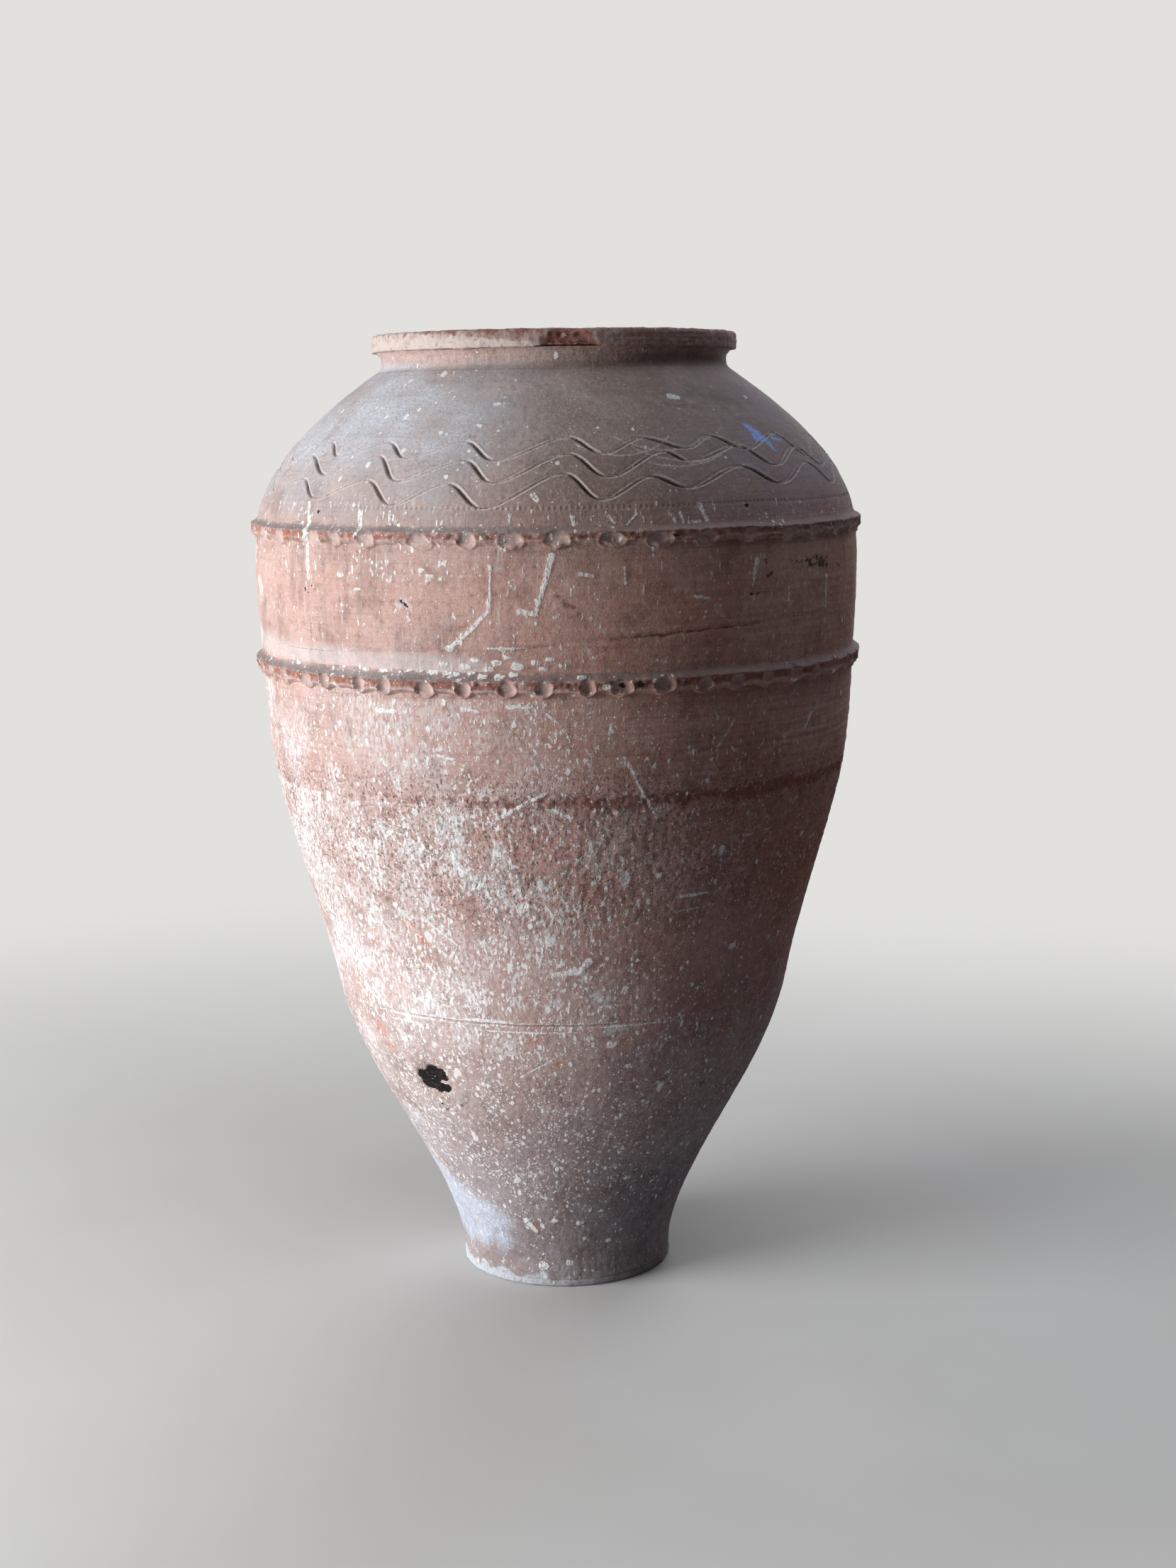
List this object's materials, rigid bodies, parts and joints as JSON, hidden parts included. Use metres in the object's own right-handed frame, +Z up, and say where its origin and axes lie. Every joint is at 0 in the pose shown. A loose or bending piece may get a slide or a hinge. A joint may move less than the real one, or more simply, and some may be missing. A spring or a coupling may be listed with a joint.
{
  "type": "storage jar",
  "caption": "Tall egg-shaped terracotta storage jar with a narrow foot, broad shoulder, collar rim, thumbed bands over its seams and a wide open mouth.",
  "frame": {"origin": "centre of the flat underside of the foot, on the jar's axis", "axes": "+Z up along the jar's axis to the mouth, -Y to the front that the picture shows, +X to the viewer's right"},
  "size_m": [0.6405, 0.6402, 1],
  "materials": {
    "terracotta_wall": "matt, weathered, spattered with lime",
    "terracotta_shoulder": "matt, grey and dusty",
    "terracotta_base": "matt, limed along the edge",
    "terracotta_rim": "matt, worn and chipped",
    "terracotta_band": "matt, rough",
    "terracotta_coil": "matt, finger-smeared",
    "pitch": "dull black pitch"
  },
  "bodies": {
    "root": {"base_slab": "terracotta_base", "foot_wall": "terracotta_wall", "lower_wall": "terracotta_wall", "waist_wall": "terracotta_wall", "belly_wall": "terracotta_wall", "shoulder_wall": "terracotta_shoulder", "neck_ring": "terracotta_rim", "rim_ring": "terracotta_rim", "lower_band": "terracotta_band", "upper_band": "terracotta_band", "floor_coil": "terracotta_coil", "foot_seam_coil": "terracotta_coil", "lower_seam_coil": "terracotta_coil", "waist_seam_coil": "terracotta_coil", "belly_seam_coil": "terracotta_coil", "pitch_plug": "pitch"}
  },
  "joints": []
}
